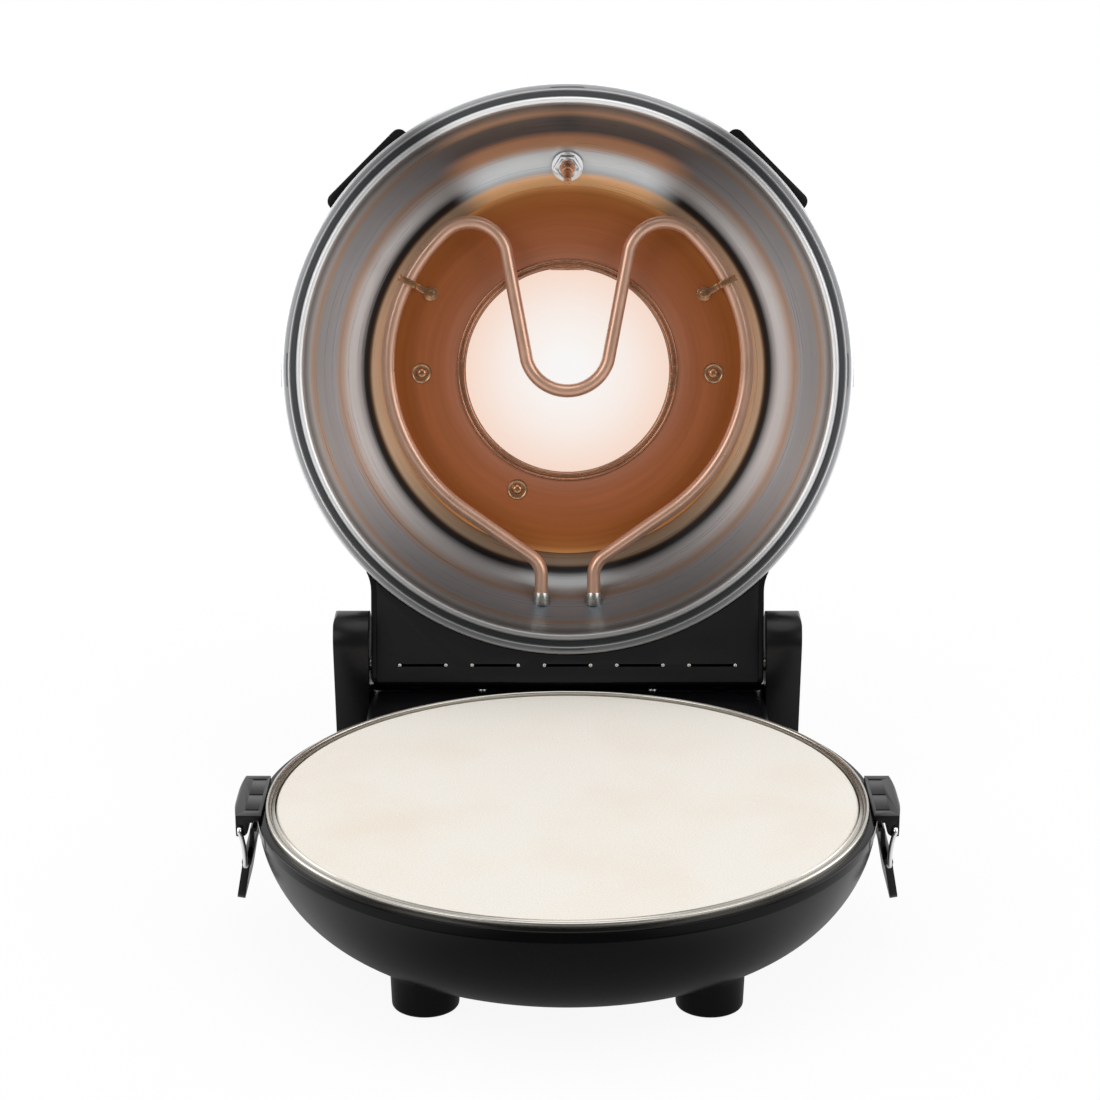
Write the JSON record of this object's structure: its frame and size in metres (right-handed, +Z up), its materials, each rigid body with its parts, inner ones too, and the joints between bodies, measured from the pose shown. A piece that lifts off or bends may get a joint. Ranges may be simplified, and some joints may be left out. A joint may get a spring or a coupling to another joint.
{
  "type": "electric pizza maker",
  "caption": "Round countertop cooker with a baking stone in a bowl-shaped base, a domed lid on a rear hinge, a looped heater in the lid, and side latches.",
  "frame": {"origin": "on the table, under the middle of the open object's bounding box", "axes": "+X to the right as seen from the front, +Y to the rear, +Z up"},
  "size_m": [0.3536, 0.4999, 0.4242],
  "materials": {
    "black_plastic": "fine satin moulding",
    "dark_plastic": "satin moulding",
    "stainless": "spun and brushed",
    "ring_steel": "dull pressed sheet",
    "heater_tube": "annealed tube",
    "dark_heater": "oxidised tube",
    "tinted_plate": "heat-tinted sheet",
    "cover_sheet": "black satin",
    "bright_wire": "bright",
    "screw_steel": "plain",
    "stone": "fine matt",
    "window_glass": "clear",
    "rubber": "matt",
    "ceramic": "plain",
    "bush_brass": "turned",
    "red_lens": "clear lens",
    "green_lens": "clear lens"
  },
  "bodies": {
    "base": {"base_shell": "black_plastic", "rim_ring": "ring_steel", "base_pan": "ring_steel", "lower_heater": "dark_heater", "heater_supports": "ring_steel", "base_cover": "cover_sheet", "cover_screws": "screw_steel", "foot_front_left": "black_plastic", "foot_front_right": "black_plastic", "foot_rear_left": "black_plastic", "foot_rear_right": "black_plastic", "foot_pads": "rubber", "foot_screws": "screw_steel", "grip_left": "black_plastic", "grip_right": "black_plastic", "rear_housing": "black_plastic", "tower_left": "black_plastic", "tower_right": "black_plastic", "hinge_pin_left": "screw_steel", "hinge_pin_right": "screw_steel", "housing_screws": "screw_steel", "cord_gland": "rubber", "stop_pads": "rubber", "terminal_block": "ceramic"},
    "stone": {"pizza_stone": "stone"},
    "lid": {"lid_shell": "black_plastic", "lid_liner": "stainless", "ceiling_plate": "tinted_plate", "ceiling_rivets": "screw_steel", "window_glass": "window_glass", "window_frame": "tinted_plate", "window_bezel": "dark_plastic", "arm_cover": "dark_plastic", "upper_heater": "heater_tube", "heater_bushes": "stainless", "heater_clips": "ring_steel", "temperature_probe": "heater_tube", "probe_nut": "stainless", "front_handle": "black_plastic", "catch_left": "stainless", "catch_right": "stainless", "hinge_bush_left": "bush_brass", "hinge_bush_right": "bush_brass", "thermostat_body": "ceramic", "timer_body": "dark_plastic", "lamp_power": "red_lens", "lamp_heat": "green_lens"},
    "thermostat_knob": {"thermostat_knob": "dark_plastic"},
    "timer_knob": {"timer_knob": "dark_plastic"},
    "wire_left": {"wire_left": "bright_wire"},
    "wire_right": {"wire_right": "bright_wire"},
    "lever_left": {"lever_left": "black_plastic"},
    "lever_right": {"lever_right": "black_plastic"}
  },
  "joints": [
    {"name": "lid_hinge", "type": "hinge", "parent": "base", "child": "lid", "pos_m": [0, 0.0876, 0.094], "axis": [-1, 0, 0], "range_deg": [-104.5, 0]},
    {"name": "stone_lift", "type": "slide", "parent": "base", "child": "stone", "axis": [0, 0, 1], "range_m": [0, 0.05]},
    {"name": "thermostat_turn", "type": "hinge", "parent": "lid", "child": "thermostat_knob", "pos_m": [-0.07, 0.12787, 0.09598], "axis": [0, -0.8788, 0.4772], "range_deg": [0, 270]},
    {"name": "timer_turn", "type": "hinge", "parent": "lid", "child": "timer_knob", "pos_m": [0.07, 0.12787, 0.09598], "axis": [0, -0.8788, 0.4772], "range_deg": [0, 300]},
    {"name": "wire_right_swing", "type": "hinge", "parent": "base", "child": "wire_right", "pos_m": [0.1723, -0.0849, 0.075], "axis": [0, -1, 0], "range_deg": [0, 180]},
    {"name": "lever_right_turn", "type": "hinge", "parent": "wire_right", "child": "lever_right", "pos_m": [0.16988, -0.0849, 0.05374], "axis": [0, -1, 0], "range_deg": [-50, 8]},
    {"name": "wire_left_swing", "type": "hinge", "parent": "base", "child": "wire_left", "pos_m": [-0.1723, -0.0849, 0.075], "axis": [0, 1, 0], "range_deg": [0, 180]},
    {"name": "lever_left_turn", "type": "hinge", "parent": "wire_left", "child": "lever_left", "pos_m": [-0.16988, -0.0849, 0.05374], "axis": [0, 1, 0], "range_deg": [-50, 8]}
  ]
}
